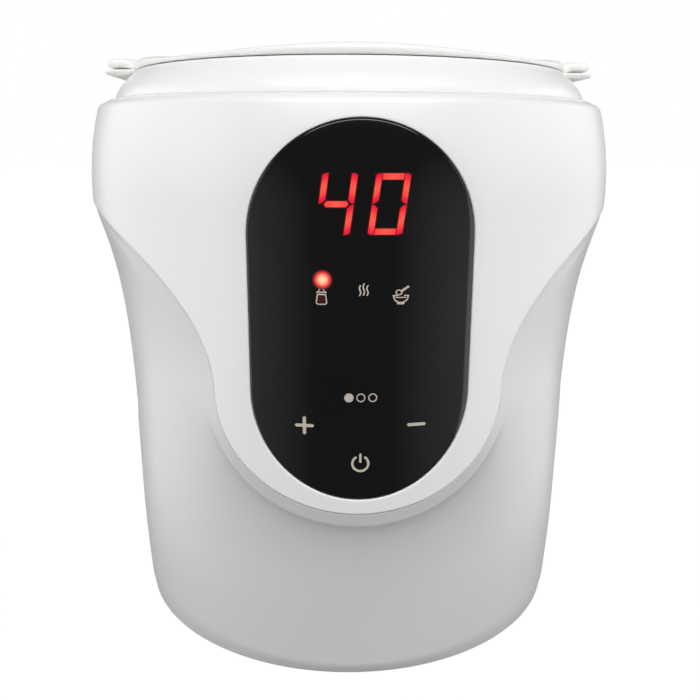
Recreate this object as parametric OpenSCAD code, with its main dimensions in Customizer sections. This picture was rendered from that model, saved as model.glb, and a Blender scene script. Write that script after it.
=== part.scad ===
// Countertop warmer for baby bottles and food jars. Millimetres, +Z up, front faces -Y.
// The origin is on the supporting surface, under the middle of the object.

/* [Body] */
// Widest radius of the body, at the height of the display
body_r = 66; // [65:0.1:67]
// Radius of the body at its bottom edge
base_r = 57; // [56.6:0.1:58]
// Height of the shoulder above the body's bottom edge
shoulder_z = 130.5; // [130:0.1:131]
// Thickness of the upper housing's wall
wall = 2.6; // [2.4:0.1:2.8]
// Height of the rubber feet below the body
foot_h = 1.5; // [1.2:0.1:3]

/* [Shield on the front] */
// Half the angle that the shield covers at mid height, in degrees
shield_half = 27; // [26:0.5:29]
// Height of the shield's lowest point above the body's bottom edge
shield_low = 45.7; // [44:0.1:48]
// Height at which the shield's outline is steepest
shield_mid = 70; // [68:0.5:74]
// Height of the seam between the housings at the sides and the back
shield_side = 108; // [106:0.5:109]
// Width of the bevel under the shield's edge
bevel_w = 3.4; // [2.4:0.1:3.8]
// How far the bevel falls in below the shield's surface
bevel_drop = 0.8; // [0.5:0.1:1.4]

/* [Display] */
// Width of the display window
window_w = 44.8; // [43:0.2:46]
// Height of the window's lowest point above the body's bottom edge
window_low = 48.8; // [48.4:0.1:49.6]
// Height of the window's highest point above the body's bottom edge
window_top = 125.1; // [124:0.1:125.6]
// Thickness of the display window
window_t = 1.6; // [1.2:0.1:1.8]

/* [Well] */
// Inner radius of the water chamber
chamber_r = 43; // [42.6:0.1:43.2]
// Height of the water chamber's underside above the body's bottom edge
chamber_low = 44; // [43.8:0.1:45]
// Inner radius of the lift-out basket, which takes a wide-neck bottle
basket_r = 40; // [39.6:0.1:40.2]
// Radius of the cord's hole in the gland
gland_bore_r = 3.6; // [3.2:0.1:3.8]

/* [Handles] */
// How far the lid's tabs reach from the axis
lid_tab_r = 60; // [59:0.5:62]
// How far the basket's tabs reach from the axis
basket_tab_r = 60.5; // [59:0.5:62]

/* [Hidden] */
$fn = 96;
eps = 0.01;

// Upper housing: the wall is upright up to belly_z, then curves in to the shoulder.
belly_z = 109;
shoulder_in = 2.6;         // how far the wall has come in where the shoulder's rounding starts
shoulder_round = 1.6;      // radius of the shoulder's rounding
shoulder_fall = 0.9;       // how far the shoulder slopes down from the collar to its rounding
shoulder_hole_r = 57.2;    // opening in the top, for the collar's spigot
ledge_w = 1.6;             // ledge behind the window's edge
steps = 8;                 // stretches in the curve of the upper wall

// Lower housing
lower_wall = 2.4;
foot_round = 0.7;          // rounding of the bottom edge
seam_gap = 0.55;           // clearance between the two housings along the seam
lip_h = 3;                 // how far the lower housing's lip reaches up behind the rim
flare_reach = 17;          // how far below the shield the flare has mostly died away
plate_ledge_z = 3;
base_plate_r = 55.1;
base_plate_t = 2.5;
n_low = 11;                // columns along the lower half of the shield's side
n_up = 15;                 // columns along the upper half
n_back = 11;               // columns round the back
outer_rows = 15;
inner_rows = 8;

// Top stack: chassis ring, chamber flange, seal, collar, basket flange, lid
ring_top = shoulder_z - wall;
ring_t = 2.5;
sheet = 1.2;               // chamber wall
seal_t = 1.2;
collar_low = ring_top + sheet + seal_t;
collar_r = 59;
collar_top = 137.2;
collar_top_r = 53.7;
collar_in_r = 47.3;
flange_z = 136.3;          // underside of the basket's flange and tabs
flange_r = 50.6;
flange_t = 1;
basket_tab_t = 1.4;
tab_w = 30;
lid_low = 137.4;
lid_r = 54;
lid_top = 141;
lid_tab_z = 138.2;
lid_tab_t = 2;
lid_tab_w = 24;
lid_skirt_r = 39.4;
basket_low = 46.5;
basket_wall = 1.3;
collar_screw_r = 51.8;
collar_screw_turn = 30;    // keeps the screws away from the tabs' notches

// Legs, base and boards
leg_r = 49.6;              // distance of the chassis legs from the axis
leg_rad = 3.2;
foot_pos_r = 40;
gland_z = 12;
gland_seat_y = 56.9;
board_z = 9;
board_t = 1.6;
board_size = [62, 54];
post_pos = [26, 22];
lead_r = 1.1;

// Display stack: everything is placed by its height and its distance in front of the axis
panel_y = -54.6;           // front face of the display board
carrier_y = -57.6;         // front face of the carrier
guide_y = -62;             // front face of the light guide and of the digits' block
digits_z = 109.4;
icon_z = 93;
icon_x = [-7.8, 0.4, 7.7];
dot_z = 71.1;
dot_pitch = 2.4;
key_pos = [[-11.45, 65.4], [11.45, 65.4], [0, 56.9]];
ear_y = -56.6;             // front face of the carrier's ears
ear_x = 23.2;
ear_r = 2.2;
carrier_ears = [[-ear_x, 80], [ear_x, 80], [-ear_x, 112], [ear_x, 112]];

white = [0.92, 0.92, 0.91];
shade_white = [0.85, 0.85, 0.83];
milky = [0.9, 0.91, 0.88];
steel = [0.72, 0.73, 0.75];
board_green = [0.1, 0.36, 0.22];

// ---------- outlines ----------

// Outside radius of the upper housing at height z, below the shoulder's rounding
function wall_r(z) = body_r - shoulder_in * pow(max(0, z - belly_z) / (round_z - belly_z), 2);
round_z = shoulder_z - shoulder_fall - shoulder_round;

// Right half of the shield's outline as [angle from the front, height], grown outwards by g:
// u runs 0 to 1 along the bottom, 1 to 2 up the flank to the side, and 2 to 3 round the back.
function outline(u, g = 0) =
    let (half = shield_half + g / body_r * 180 / PI, low = shield_low - g, side = shield_side - g)
    u <= 1 ? [half * sin(90 * u), shield_mid - (shield_mid - low) * cos(90 * u)]
    : u <= 2 ? [90 - (90 - half) * pow(cos(90 * (u - 1)), 0.91),
                shield_mid + (side - shield_mid) * sin(90 * (u - 1))]
    : [90 * (u - 1), side];

// Everything in front of the axis that is below the shield's outline, as seen at radius r
module below_shield(g, r) {
    n = 44;
    right = [for (i = [0 : n]) let (p = outline(2 * i / n, g)) [r * sin(p[0]), p[1]]];
    side = shield_side - g;
    far = body_r + 6;
    rotate([90, 0, 0]) linear_extrude(far)
        polygon(concat([[-far, 0], [far, 0], [far, side]], [for (i = [n : -1 : 0]) right[i]],
            [for (i = [1 : n]) [-right[i][0], right[i][1]]], [[-far, side]]));
    translate([-far, -eps, 0]) cube([2 * far, far, side]);
}

// A stadium that stands on end in the XZ plane, extruded towards the front
module upright_stadium(w, low, top, y0, y1) {
    translate([0, -y0, 0]) rotate([90, 0, 0]) linear_extrude(y1 - y0) {
        translate([0, low + w / 2]) circle(d = w);
        translate([0, top - w / 2]) circle(d = w);
        translate([-w / 2, low + w / 2]) square([w, top - low - w]);
    }
}

// Ring that follows the upper wall, from inset a to inset b below the surface
module wall_ring(a, b, z0, z1) {
    zs = concat([z0], [for (i = [0 : steps]) belly_z + (z1 - belly_z) * i / steps]);
    rotate_extrude() polygon(concat(
        [for (z = zs) [wall_r(z) - a, z]],
        [for (i = [len(zs) - 1 : -1 : 0]) [wall_r(zs[i]) - b, zs[i]]]));
}

module ring(r_out, r_in, z0, z1) {
    rotate_extrude() translate([r_in, z0]) square([r_out - r_in, z1 - z0]);
}

module post(x, y, z0, z1, r) {
    translate([x, y, z0]) cylinder(r = r, h = z1 - z0);
}

// A cylinder that lies along Y, from y0 to y1
module along_y(x, z, y0, y1, r) {
    translate([x, y1, z]) rotate([90, 0, 0]) cylinder(r = r, h = y1 - y0);
}

// A block with rounded corners about the cord's axis, from y0 to y1
module cord_block(w, y0, y1, corner = 2.5) {
    translate([0, y1, gland_z]) rotate([90, 0, 0]) linear_extrude(y1 - y0) {
        square([w, w - 2 * corner], center = true);
        square([w - 2 * corner, w], center = true);
        for (x = [-1, 1], z = [-1, 1]) translate([x * (w / 2 - corner), z * (w / 2 - corner)])
            circle(r = corner);
    }
}

module around(n, turn = 0) {
    for (i = [0 : n - 1]) rotate([0, 0, turn + 360 * i / n]) children();
}

module raised() {
    translate([0, 0, foot_h]) children();
}

// Pan-head screw that points up, with its head's underside at z
module screw_up(z, len, r, head_r, head_h) {
    translate([0, 0, z - head_h]) difference() {
        union() {
            cylinder(r = head_r, h = head_h);
            cylinder(r = r, h = head_h + len);
        }
        for (a = [0, 90]) rotate([0, 0, a])
            translate([-head_r * 0.6, -0.3, -eps]) cube([head_r * 1.2, 0.6, head_h * 0.5]);
    }
}

// ---------- swept wires ----------

function bezier(p, t) = pow(1 - t, 3) * p[0] + 3 * pow(1 - t, 2) * t * p[1]
    + 3 * (1 - t) * t * t * p[2] + pow(t, 3) * p[3];
function unit(v) = v / norm(v);

// Tube of radius r along a list of points; side is a direction never parallel to the path
module tube(path, r, side = [0, 1, 0], sides = 8) {
    n = len(path);
    points = [for (i = [0 : n - 1])
        let (d = unit(path[min(i + 1, n - 1)] - path[max(i - 1, 0)]), a = unit(cross(d, side)),
             b = cross(d, a))
        for (k = [0 : sides - 1]) path[i] + r * (cos(360 * k / sides) * a + sin(360 * k / sides) * b)];
    walls = [for (i = [0 : n - 2]) for (k = [0 : sides - 1])
        let (l = (k + 1) % sides, a = i * sides + k, b = a + sides, c = (i + 1) * sides + l)
        each [[a, b, c], [a, c, i * sides + l]]];
    polyhedron(points, concat([[for (k = [0 : sides - 1]) k]], walls,
        [[for (k = [sides - 1 : -1 : 0]) (n - 1) * sides + k]]));
}

module wire(p, r, side = [0, 1, 0]) {
    tube([for (i = [0 : 10]) bezier(p, i / 10)], r, side);
}

// ---------- what lifts off ----------

// Handle tab along +X with rounded corners
module tab(r_in, r_out, w, z, t, corner) {
    translate([0, 0, z]) linear_extrude(t) {
        translate([r_in, -w / 2]) square([r_out - r_in - corner, w]);
        translate([r_in, -w / 2 + corner]) square([r_out - r_in, w - 2 * corner]);
        for (s = [-1, 1]) translate([r_out - corner, s * (w / 2 - corner)]) circle(r = corner);
    }
}

module lid() {
    color(milky) raised() {
        rotate_extrude() polygon([[0, lid_top], [20, lid_top - 0.2], [38, lid_top - 0.6],
            [50, lid_top - 1.1], [52.6, lid_top - 1.6], [53.7, lid_top - 2.3],
            [lid_r, lid_low + 0.7], [lid_r - 0.4, lid_low], [lid_skirt_r + 5, lid_low],
            [lid_skirt_r + 4, lid_low + 1.2], [0, lid_top - 1.8]]);
        ring(lid_skirt_r, lid_skirt_r - 1.4, lid_low - 4, lid_low + 1.8);
        for (a = [0, 180]) rotate([0, 0, a])
            tab(lid_r - 2, lid_tab_r, lid_tab_w, lid_tab_z, lid_tab_t, 6);
    }
}

module basket() {
    color(milky) raised() difference() {
        union() {
            ring(basket_r + basket_wall, basket_r, basket_low, flange_z + eps);
            ring(flange_r, basket_r, flange_z, flange_z + flange_t);
            translate([0, 0, basket_low]) cylinder(r = basket_r + eps, h = 1.5);
            for (a = [0, 180]) rotate([0, 0, a])
                tab(flange_r - 2, basket_tab_r, tab_w, flange_z, flange_t, 9);
            for (a = [0, 180]) rotate([0, 0, a]) difference() {
                tab(lid_r - 2, basket_tab_r, tab_w - 4, flange_z, basket_tab_t, 6);
                cylinder(r = lid_r + 0.6, h = lid_top);
            }
        }
        // water flows through slots in the wall and holes in the floor
        around(8, 22.5) translate([basket_r - 2, -1.5, basket_low + 12]) cube([5, 3, 58]);
        around(8) post(26, 0, basket_low - 1, basket_low + 3, 3);
        post(0, 0, basket_low - 1, basket_low + 3, 6);
    }
}

// ---------- shells ----------

module collar_ring() {
    outer = [for (i = [0 : 6]) let (t = i / 6)
        [collar_r - (collar_r - collar_top_r) * pow(t, 1.6), shoulder_z + (collar_top - shoulder_z) * t]];
    hollow = 2;            // thickness of the collar's outer wall and roof
    spigot_r = shoulder_hole_r - 0.4;
    color(white) raised() difference() {
        union() {
            rotate_extrude() polygon(concat(outer, [
                [flange_r + 0.4, collar_top], [flange_r + 0.4, flange_z - 0.1],
                [collar_in_r, flange_z - 0.1], [collar_in_r, collar_low], [collar_in_r + 1.6, collar_low],
                [collar_in_r + 1.6, flange_z - 1.7], [collar_top_r - hollow + 0.6, flange_z - 1.7],
                [spigot_r - 1.6, shoulder_z + 1], [spigot_r - 1.6, ring_top], [spigot_r, ring_top],
                [spigot_r, shoulder_z]]));
            around(4, collar_screw_turn)
                post(collar_screw_r, 0, ring_top + sheet + 0.1, flange_z - 1, 3);
        }
        around(4, collar_screw_turn) post(collar_screw_r, 0, ring_top, flange_z - 2.5, 1.45);
        for (a = [0, 180]) rotate([0, 0, a])
            translate([flange_r - 4, -tab_w / 2 - 0.6, flange_z - 0.1]) cube([15, tab_w + 1.2, 4]);
    }
}

module upper_housing() {
    low = shield_low - 1;
    arc = [for (i = [0 : 5]) let (a = 90 * i / 5)
        [wall_r(round_z) - shoulder_round * (1 - cos(a)), round_z + shoulder_round * sin(a)]];
    zs = concat([low], [for (i = [0 : steps - 1]) belly_z + (round_z - belly_z) * i / steps]);
    inner = [for (i = [len(zs) - 1 : -1 : 0]) [wall_r(zs[i]) - wall, zs[i]]];
    color(white) raised() difference() {
        union() {
            rotate_extrude() polygon(concat([for (z = zs) [wall_r(z), z]], arc,
                [[collar_r, shoulder_z], [shoulder_hole_r, shoulder_z], [shoulder_hole_r, ring_top],
                 [wall_r(round_z) - wall - 1, ring_top]], inner));
            for (e = carrier_ears) along_y(e[0], e[1], -59.8, ear_y - 0.05, ear_r);
        }
        below_shield(0, body_r - wall / 2);
        upright_stadium(window_w - 2 * ledge_w, window_low + ledge_w, window_top - ledge_w, 50, 70);
        intersection() {
            upright_stadium(window_w + 0.2, window_low - 0.1, window_top + 0.1, 50, 70);
            wall_ring(-2, window_t + 0.2, shield_low, shoulder_z - 1);
        }
        for (e = carrier_ears) along_y(e[0], e[1], -59.6, ear_y + 1, 1);
    }
}

// Lower housing. Its outside is a tapered drum that flares out to a crease, and a bevel rises
// from the crease to the shield's edge. The bevel dies away towards the sides and the back.
function fade(u) = let (t = max(0, min(1, (u - 1.45) / 0.55))) 1 - 0.86 * t * t * (3 - 2 * t);
function crease(u) = outline(u, bevel_w * pow(fade(u), 0.8));
function crease_r(u) = edge_r - (bevel_drop - 0.15) * fade(u);
function drum_r(z) = base_r + 1.2 * sin(90 * min(1, z / 30)) + 0.7 * max(0, z - 30) / 78;
function flare(a, z) =
    let (near = [for (p = crease_dots)
             [norm([(p[0] - abs(a)) * PI / 180 * body_r, p[1] - z]), p[2], p[3]]],
         d = min([for (q = near) q[0]]), q = [for (q = near) if (q[0] == d) q][0],
         s = sqrt(d * d + 1) - 1)
    drum_r(z) + (q[1] - drum_r(z)) * exp(-pow(s / flare_reach, q[2]));
// Low at the front, where the flare falls in fastest right under the crease
function flare_bend(u) = let (t = max(0, min(1, (u - 0.7) / 0.5))) 0.78 + 0.34 * t * t * (3 - 2 * t);
edge_r = body_r - 0.45;    // bevel's top edge
crease_dots = [for (i = [0 : 180]) concat(crease(i / 60), crease_r(i / 60), flare_bend(i / 60))];

// Columns run from the bottom edge to the seam. Each is [side, u].
columns = let (half = concat([for (i = [0 : n_low - 1]) i / n_low],
                             [for (i = [0 : n_up - 1]) 1 + i / n_up],
                             [for (i = [0 : n_back]) 2 + i / n_back]))
    concat([for (u = half) [1, u]], [for (i = [len(half) - 2 : -1 : 1]) [-1, half[i]]]);
function foot_angle(u) = u <= 1 ? 38 * u : u <= 2 ? 38 + 52 * (u - 1) : 90 * (u - 1);
function at(r, a, z) = [r * sin(a), -r * cos(a), z];

// One closed loop of points up the outside of a column and down its inside
function column(side, u) =
    let (top = outline(u, seam_gap), tip = outline(u, seam_gap - lip_h), bend = crease(u),
         a0 = foot_angle(u), lift = function(t) [a0 + (bend[0] - a0) * t, bend[1] * t])
    [for (p = concat(
        [[drum_r(0) - foot_round, a0, 0], [drum_r(0) - foot_round * 0.3, a0, foot_round * 0.4]],
        [for (i = [0 : outer_rows - 1])
            let (q = lift(0.025 + 0.975 * i / (outer_rows - 1))) [flare(q[0], q[1]), q[0], q[1]]],
        [[edge_r, top[0], top[1]],
         [body_r - wall - 0.2, top[0], top[1]], [body_r - wall - 0.2, tip[0], tip[1]],
         [body_r - wall - 2.2, tip[0], tip[1]]],
        [for (i = [inner_rows : -1 : 0])
            let (q = lift(plate_ledge_z / bend[1] + (0.95 - plate_ledge_z / bend[1]) * i / inner_rows))
            [min(flare(q[0], q[1]), body_r - wall - 0.2) - lower_wall, q[0], q[1]]],
        [[base_plate_r + 0.3, a0, plate_ledge_z], [base_plate_r + 0.3, a0, 0]]))
     at(p[0], side * p[1], p[2])];

module lower_shell() {
    rows = outer_rows + inner_rows + 9;
    n = len(columns);
    points = [for (c = columns) each column(c[0], c[1])];
    polyhedron(points, [for (i = [0 : n - 1]) for (k = [0 : rows - 1])
        let (j = (i + 1) % n, l = (k + 1) % rows, a = i * rows + k, b = j * rows + k,
             c = j * rows + l, d = i * rows + l)
        each [[a, d, c], [a, c, b]]]);
}

module lower_housing() {
    color(shade_white) raised() difference() {
        lower_shell();
        cord_block(12.4, 45, 70);
        cord_block(16.5, gland_seat_y, 70);
    }
}

module base_plate() {
    color(shade_white) raised() difference() {
        union() {
            ring(base_plate_r, eps, 0.4, 0.4 + base_plate_t);
            cylinder(r = 1, h = 0.4 + base_plate_t);
            translate([0, 0, 0.4]) cylinder(r = 10, h = base_plate_t);
            for (x = [-1, 1], y = [-1, 1])
                post(x * post_pos[0], y * post_pos[1], 2, board_z, 3);
            for (x = [-9, 9]) post(x, 44, 2, gland_z - 4.4, 3);
        }
        around(4, 45) {
            post(leg_r, 0, -1, 5, 1.8);
            post(leg_r, 0, -1, 1.4, 3.4);
        }
        around(4) post(foot_pos_r, 0, -1, 5, 2.1);
        for (x = [-1, 1], y = [-1, 1])
            post(x * post_pos[0], y * post_pos[1], 4, board_z + 1, 1.25);
        for (x = [-9, 9]) post(x, 44, 3.4, gland_z, 1.25);
        // air slots
        for (i = [-3 : 3], s = [-1, 1])
            translate([i * 5 - 1, s * 20 - 7, -1]) cube([2, 14, 5]);
    }
}

module rubber_feet() {
    color([0.25, 0.25, 0.26]) raised() around(4) translate([foot_pos_r, 0, 0]) {
        translate([0, 0, -foot_h]) cylinder(r = 5, h = foot_h + 0.4);
        translate([0, 0, 0.3]) cylinder(r = 2, h = 3);
        translate([0, 0, 2.9]) cylinder(r = 3, h = 1.2);
    }
}

module base_screws() {
    color(steel) raised() around(4, 45) translate([leg_r, 0, 0]) screw_up(1.4, 10, 1.4, 3, 1.3);
}

module chassis() {
    color([0.8, 0.8, 0.78]) raised() difference() {
        union() {
            ring(59.6, chamber_r + sheet + 0.4, ring_top - ring_t, ring_top);
            around(4, 45) post(leg_r, 0, 2.9, ring_top, leg_rad);
        }
        around(4, 45) post(leg_r, 0, 0, 14, 1.45);
        around(4, collar_screw_turn) post(collar_screw_r, 0, 120, 130, 1.7);
    }
}

module collar_screws() {
    color(steel) raised() around(4, collar_screw_turn) translate([collar_screw_r, 0, 0])
        screw_up(ring_top - ring_t, 8, 1.4, 2.8, 1.6);
}

// ---------- water chamber and heater ----------

module water_chamber() {
    color([0.8, 0.81, 0.83]) raised() difference() {
        union() {
            ring(chamber_r + sheet, chamber_r, chamber_low, ring_top + sheet);
            translate([0, 0, chamber_low]) cylinder(r = chamber_r + eps, h = sheet);
            ring(55, chamber_r, ring_top, ring_top + sheet);
        }
        around(4, collar_screw_turn) post(collar_screw_r, 0, ring_top - 1, ring_top + 3, 1.7);
    }
}

module chamber_seal() {
    color([0.75, 0.76, 0.78]) raised() rotate_extrude() {
        translate([collar_in_r - 0.6, ring_top + sheet]) square([2, seal_t]);
        translate([collar_in_r - 0.6, ring_top + sheet]) square([0.5, seal_t + 1.2]);
    }
}

heater_z = chamber_low - 2;
coil_r = 26;
coil_rad = 3;

module heater_plate() {
    color(steel) raised() difference() {
        translate([0, 0, heater_z]) cylinder(r = 36, h = 2);
        post(0, 12, heater_z - 1, heater_z + 3, 2.7);
    }
}

module heating_element() {
    color([0.35, 0.33, 0.32]) raised() {
        rotate([0, 0, -75]) rotate_extrude(angle = 330)
            translate([coil_r, heater_z - coil_rad]) circle(r = coil_rad);
        for (a = [-75, 255]) rotate([0, 0, a])
            translate([coil_r, 0, heater_z - coil_rad]) sphere(r = coil_rad);
    }
}

module heater_terminals() {
    color([0.85, 0.8, 0.55]) raised() for (a = [-75, 255]) rotate([0, 0, a])
        translate([coil_r - 0.4, -2.5, heater_z - 2 * coil_rad - 8]) cube([0.8, 5, 8]);
}

module heater_stud() {
    color(steel) raised() post(0, 0, 27.4, heater_z, 2);
}

module heater_clamp() {
    color(steel) raised() difference() {
        translate([-30, -5, heater_z - 2 * coil_rad - 1]) cube([60, 10, 1]);
        post(0, 0, 30, 40, 2.15);
    }
}

module nut(z0) {
    translate([0, 0, z0]) difference() {
        cylinder(r = 4, h = 2.8, $fn = 6);
        translate([0, 0, -1]) cylinder(r = 2.02, h = 5);
    }
}

module heater_nuts() {
    color([0.82, 0.8, 0.7]) raised() {
        nut(heater_z - 2 * coil_rad - 3.9);
        nut(28);
    }
}

module heat_shield() {
    color([0.66, 0.67, 0.7]) raised() difference() {
        union() {
            translate([0, 0, 30.9]) cylinder(r = 38, h = 0.6);
            ring(38, 37.2, 27.5, 31.4);
        }
        post(0, 0, 25, 35, 2.2);
        for (a = [-75, 255]) rotate([0, 0, a]) translate([coil_r - 3, -4, 25]) cube([7.5, 8, 10]);
        post(0, 12, 25, 35, 3.2);
        post(22, 26, 25, 35, 2.3);
    }
}

module thermostat() {
    color([0.2, 0.18, 0.17]) raised() {
        post(-11, 11.2, heater_z - 1.6, heater_z, 7);
        post(-11, 11.2, heater_z - 8, heater_z - 1.6, 5.5);
    }
}

module thermal_fuse() {
    color([0.9, 0.86, 0.75]) raised() {
        translate([4, -12, heater_z - 2.1]) rotate([0, 90, 0]) cylinder(r = 2, h = 10);
        translate([1, -12, heater_z - 2.1]) rotate([0, 90, 0]) cylinder(r = 0.5, h = 16);
    }
}

module temperature_sensor() {
    color([0.15, 0.15, 0.16]) raised() {
        post(0, 12, heater_z - 7, chamber_low, 2.3);
        post(0, 12, heater_z - 7, heater_z - 5.6, 2.9);
    }
}

// Helix of wire about Z, as a swept polyhedron
module coil(x, y, z0, z1, r, wire_r, turns) {
    n = turns * 12;
    translate([x, y, 0]) tube([for (i = [0 : n]) [r * cos(30 * i), r * sin(30 * i), z0 + (z1 - z0) * i / n]],
        wire_r, [0, 0, 1], 6);
}

module sensor_spring() {
    color(steel) raised() coil(0, 12, 28.2, heater_z - 7.4, 2.4, 0.3, 4);
}

module heater_leads() {
    low = heater_z - 2 * coil_rad - 8;
    color([0.85, 0.85, 0.8]) raised() {
        wire([[7.2, -26.85, low + 5], [8.2, -30, low - 6], [16, -18, 24], [16, -18, 10.8]], lead_r);
        wire([[-7.2, -26.85, low + 5], [-8.2, -30, low - 6], [-20, -7, 22], [-20, -7, 10.8]], lead_r);
    }
}

module sensor_lead() {
    color([0.2, 0.2, 0.22]) raised()
        wire([[0, 12, heater_z - 7.2], [0, 12, 16], [4, -4, 24], [4, -4, 10.8]], 0.8, [1, 0, 0]);
}

module earth_lead() {
    color([0.3, 0.6, 0.2]) raised() {
        difference() {
            translate([20, 22, heater_z - 1]) cube([8, 6, 1]);
            post(24, 25, heater_z - 2, heater_z + 1, 1.2);
        }
        wire([[24, 25, heater_z - 1], [24, 25, heater_z - 16], [16, 30, 26], [8, 25.2, 21.7]], lead_r,
            [1, 1, 0]);
    }
}

// ---------- display ----------

module display_window() {
    color([0.07, 0.07, 0.075]) raised() intersection() {
        upright_stadium(window_w, window_low, window_top, 50, 70);
        wall_ring(0.1, window_t + 0.1, shield_low, shoulder_z - 1);
    }
}

module display_carrier() {
    color([0.15, 0.15, 0.16]) raised() difference() {
        union() {
            translate([-20.6, carrier_y, 52]) cube([41.2, 5.4, 71]);
            for (e = carrier_ears) {
                along_y(e[0], e[1], ear_y, ear_y + 2.4, ear_r);
                translate([e[0] > 0 ? 20 : -ear_x, ear_y, e[1] - ear_r]) cube([ear_x - 20, 2.4, 2 * ear_r]);
            }
        }
        translate([-19.2, carrier_y - 1, 53.8]) cube([38.4, 8, 67.4]);
        for (e = carrier_ears) along_y(e[0], e[1], ear_y - 1, ear_y + 4, 1.3);
    }
    // rails that the board rests against
    color([0.15, 0.15, 0.16]) raised() for (s = [-1, 1])
        translate([s * 18.6 - 0.7, carrier_y, 54]) cube([1.4, -carrier_y + panel_y - 0.05, 67]);
}

module carrier_screws() {
    color(steel) raised() for (e = carrier_ears)
        translate([e[0], ear_y + 2.4, e[1]]) rotate([90, 0, 0]) screw_up(0, 4, 0.98, 2, 1.4);
}

module display_board() {
    color(board_green) raised() difference() {
        translate([-19, panel_y, 54]) cube([38, board_t, 67]);
        for (x = [-16, 16], z = [57, 118]) along_y(x, z, panel_y - 1, panel_y + 3, 1.2);
    }
}

module led_digits() {
    color([0.55, 0.08, 0.07]) raised()
        translate([-12.5, guide_y, digits_z - 9.5]) cube([25, -guide_y + panel_y, 19]);
}

module indicator_leds() {
    color([0.8, 0.25, 0.2]) raised() {
        for (x = icon_x) translate([x - 1.5, panel_y - 1.4, icon_z - 1]) cube([3, 1.4, 2]);
        for (i = [-1 : 1]) translate([i * dot_pitch - 0.6, panel_y - 1, dot_z - 0.6]) cube([1.2, 1, 1.2]);
    }
}

module light_guide() {
    color([0.2, 0.2, 0.21]) raised() difference() {
        translate([-13, guide_y, 69]) cube([26, -guide_y + panel_y - 0.1, 29]);
        for (x = icon_x) translate([x - 2.6, guide_y - 1, icon_z - 3.4]) cube([5.2, 12, 6.8]);
        for (i = [-1 : 1]) along_y(i * dot_pitch, dot_z, guide_y - 1, panel_y + 1, 0.95);
        translate([-11, guide_y - 1, 75]) cube([22, 12, 12]);
    }
}

module touch_springs() {
    color([0.85, 0.8, 0.6]) raised() for (k = key_pos)
        translate([k[0], 0, k[1]]) rotate([90, 0, 0]) coil(0, 0, -panel_y + 0.3, 62.2, 2.5, 0.3, 4);
}

// Flat cable that hangs from the display board to the power board
module ribbon_cable() {
    back = panel_y + board_t;
    color([0.7, 0.71, 0.73]) raised() translate([-6, 0, 0]) rotate([90, 0, 90]) linear_extrude(12)
        polygon([[back, 57], [back + 0.8, 55], [back + 0.8, 30], [back + 3.2, 21.6], [-40.4, 14.2],
            [-26.4, 13.2], [-26.4, board_top], [-25.4, board_top], [-25.4, 14], [-40, 15],
            [back + 4, 22], [back + 1.6, 30], [back + 1.6, 56], [back, 60]]);
}

// ---------- power electronics ----------

board_top = board_z + board_t;

module power_board() {
    color(board_green) raised() difference() {
        translate([-board_size[0] / 2, -board_size[1] / 2, board_z])
            cube([board_size[0], board_size[1], board_t]);
        for (x = [-1, 1], y = [-1, 1]) post(x * post_pos[0], y * post_pos[1], 8, 12, 1.6);
    }
}

module power_board_screws() {
    color(steel) raised() for (x = [-1, 1], y = [-1, 1])
        translate([x * post_pos[0], y * post_pos[1], board_top]) rotate([180, 0, 0])
            screw_up(0, 5.5, 1.2, 2.4, 1.4);
}

module transformer() {
    color([0.85, 0.75, 0.2]) raised() {
        translate([-22, 2, board_top]) cube([20, 17, 4]);
        translate([-19, 4, board_top + 4]) cube([14, 13, 9]);
        translate([-22, 6, board_top + 4]) cube([20, 9, 11]);
    }
}

module relay() {
    color([0.12, 0.3, 0.6]) raised() translate([9, -4, board_top]) cube([15, 19, 15]);
}

module capacitor() {
    color([0.15, 0.2, 0.35]) raised() {
        post(-8, -14, board_top, board_top + 14, 5);
        translate([-2, -25, board_top]) cube([13, 6, 11]);
    }
}

module terminal_block() {
    color([0.2, 0.5, 0.3]) raised() difference() {
        translate([-11, 20, board_top]) cube([22, 7, 10]);
        for (x = [-7, 0, 7]) along_y(x, board_top + 4, 22, 28, 1.8);
    }
}

module buzzer() {
    color([0.08, 0.08, 0.09]) raised() difference() {
        post(-24, -15.5, board_top, board_top + 7, 4.2);
        post(-24, -15.5, board_top + 4, board_top + 8, 0.9);
    }
}

module cord_gland() {
    color([0.82, 0.82, 0.8]) raised() difference() {
        union() {
            cord_block(16, gland_seat_y + 0.05, gland_seat_y + 2.6);
            cord_block(12, 51, gland_seat_y + 1);
            cord_block(13.6, 49.4, 51.4);
        }
        along_y(0, gland_z, 40, 70, gland_bore_r);
    }
}

module cord_clamp() {
    color([0.3, 0.3, 0.32]) raised() difference() {
        translate([-13, 40.5, gland_z - 4.3]) cube([26, 7, 11]);
        along_y(0, gland_z, 39, 49, 3.9);
        for (x = [-9, 9]) post(x, 44, 0, 30, 1.5);
        for (s = [-1, 1]) translate([s * 9 - 4.1, 39, gland_z - 1.9]) cube([8.2, 10, 10]);
    }
}

module cord_clamp_screws() {
    color(steel) raised() for (x = [-9, 9])
        translate([x, 44, gland_z - 1.9]) rotate([180, 0, 0]) screw_up(0, 6, 1.2, 2.6, 1.4);
}

lid();
basket();
collar_ring();
upper_housing();
lower_housing();
base_plate();
rubber_feet();
base_screws();
chassis();
collar_screws();
water_chamber();
chamber_seal();
heater_plate();
heating_element();
heater_terminals();
heater_stud();
heater_clamp();
heater_nuts();
heat_shield();
thermostat();
thermal_fuse();
temperature_sensor();
sensor_spring();
heater_leads();
sensor_lead();
earth_lead();
display_window();
display_carrier();
carrier_screws();
display_board();
led_digits();
indicator_leds();
light_guide();
touch_springs();
ribbon_cable();
power_board();
power_board_screws();
transformer();
relay();
capacitor();
terminal_block();
buzzer();
cord_gland();
cord_clamp();
cord_clamp_screws();
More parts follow.
